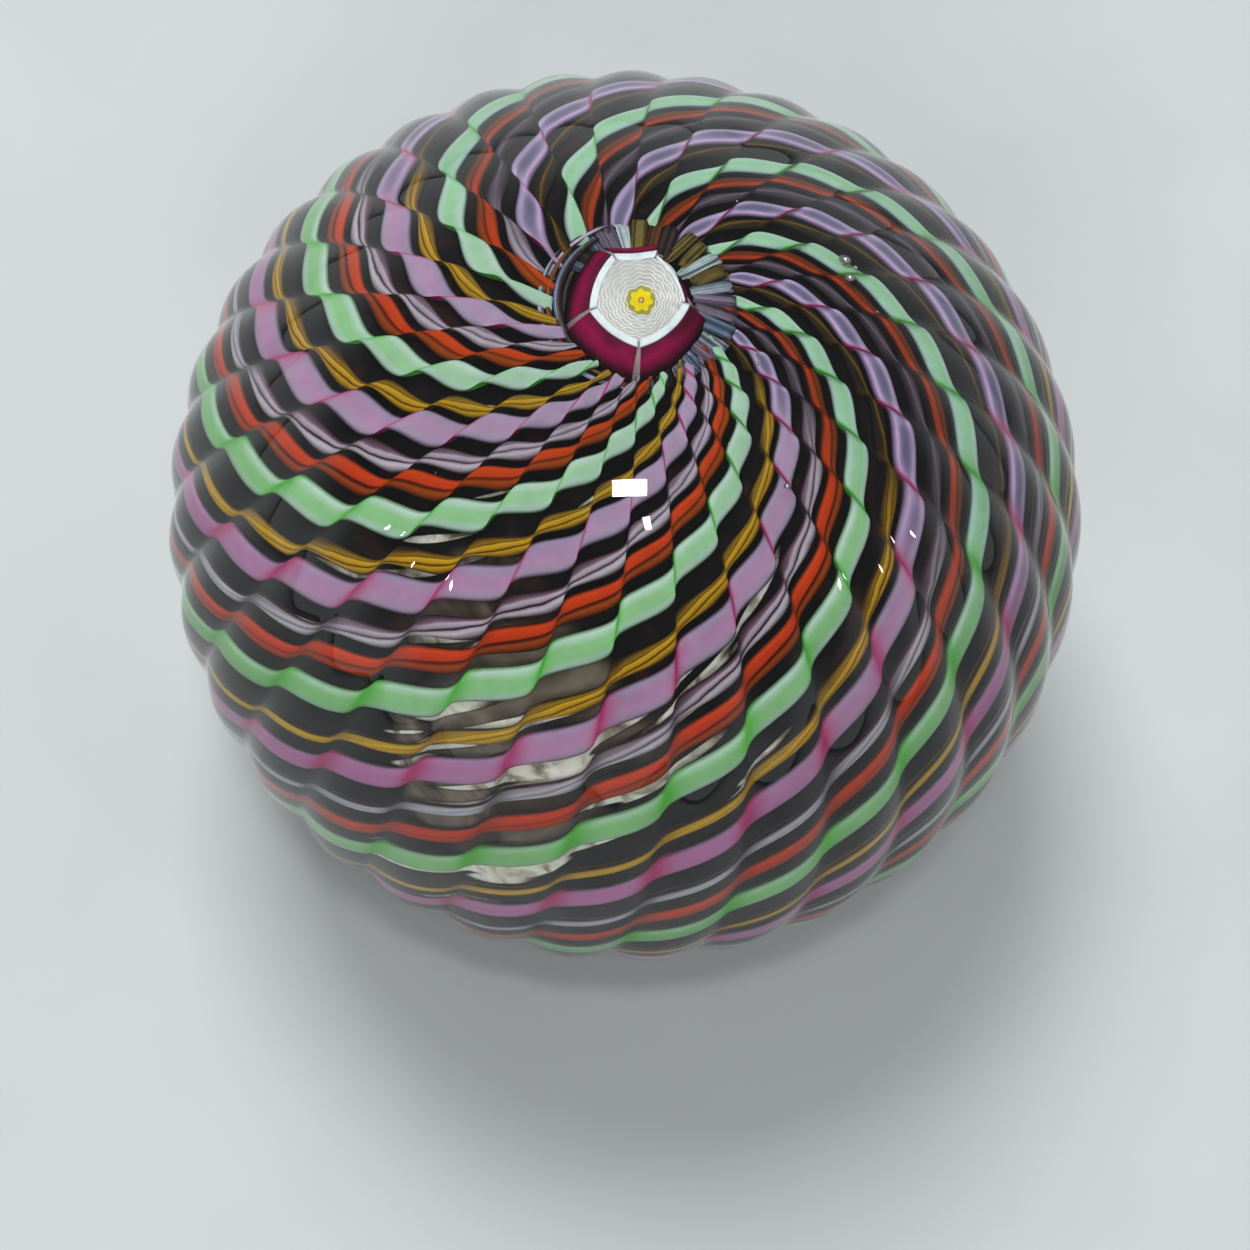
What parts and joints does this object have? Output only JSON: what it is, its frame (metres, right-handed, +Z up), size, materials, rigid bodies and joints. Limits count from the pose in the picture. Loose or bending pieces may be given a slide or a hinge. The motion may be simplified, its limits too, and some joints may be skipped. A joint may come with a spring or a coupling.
{
  "type": "paperweight",
  "caption": "Domed glass crown paperweight with swirled ribbon canes round a bundled centre cane, under a ribbed clear casing with a flat foot.",
  "frame": {"origin": "centre of the flat ground base, on the surface the weight stands on", "axes": "+Z up through the crown, -Y towards the front, +X to the right"},
  "size_m": [0.08, 0.08, 0.0639],
  "materials": {
    "clear_glass": "polished clear glass, ribbed outside",
    "dark_glass": "polished near-black amethyst glass",
    "green_glass": "opaque pale mint glass with a darker green edge",
    "orange_glass": "translucent red-orange glass with amber and maroon strands",
    "white_glass": "opaque white glass with plum lines",
    "pink_glass": "opaque lavender-pink glass with a crimson edge",
    "yellow_glass": "golden glass with dark brown lines",
    "ruby_glass": "deep ruby glass",
    "grey_glass": "steel-blue and grey glass"
  },
  "bodies": {
    "root": {"centre_star": "yellow_glass", "centre_tube": "white_glass", "clear_casing": "clear_glass", "clear_foot": "clear_glass", "cog_arc_1": "white_glass", "cog_arc_2": "white_glass", "cog_arc_3": "white_glass", "cog_arc_4": "white_glass", "cog_arc_5": "white_glass", "collar": "grey_glass", "dark_core": "dark_glass", "green_ribbon_1": "green_glass", "green_ribbon_2": "green_glass", "green_ribbon_3": "green_glass", "green_ribbon_4": "green_glass", "green_ribbon_5": "green_glass", "green_ribbon_6": "green_glass", "green_ribbon_7": "green_glass", "green_ribbon_8": "green_glass", "orange_ribbon_1": "orange_glass", "orange_ribbon_2": "orange_glass", "orange_ribbon_3": "orange_glass", "orange_ribbon_4": "orange_glass", "orange_ribbon_5": "orange_glass", "orange_ribbon_6": "orange_glass", "orange_ribbon_7": "orange_glass", "orange_ribbon_8": "orange_glass", "pink_ribbon_1": "pink_glass", "pink_ribbon_2": "pink_glass", "pink_ribbon_3": "pink_glass", "pink_ribbon_4": "pink_glass", "pink_ribbon_5": "pink_glass", "pink_ribbon_6": "pink_glass", "pink_ribbon_7": "pink_glass", "pink_ribbon_8": "pink_glass", "ruby_petal_1": "ruby_glass", "ruby_petal_2": "ruby_glass", "ruby_petal_3": "ruby_glass", "ruby_petal_4": "ruby_glass", "ruby_petal_5": "ruby_glass", "white_ribbon_1": "white_glass", "white_ribbon_2": "white_glass", "white_ribbon_3": "white_glass", "white_ribbon_4": "white_glass", "white_ribbon_5": "white_glass", "white_ribbon_6": "white_glass", "white_ribbon_7": "white_glass", "white_ribbon_8": "white_glass", "yellow_ribbon_1": "yellow_glass", "yellow_ribbon_2": "yellow_glass", "yellow_ribbon_3": "yellow_glass", "yellow_ribbon_4": "yellow_glass", "yellow_ribbon_5": "yellow_glass", "yellow_ribbon_6": "yellow_glass", "yellow_ribbon_7": "yellow_glass", "yellow_ribbon_8": "yellow_glass"}
  },
  "joints": []
}
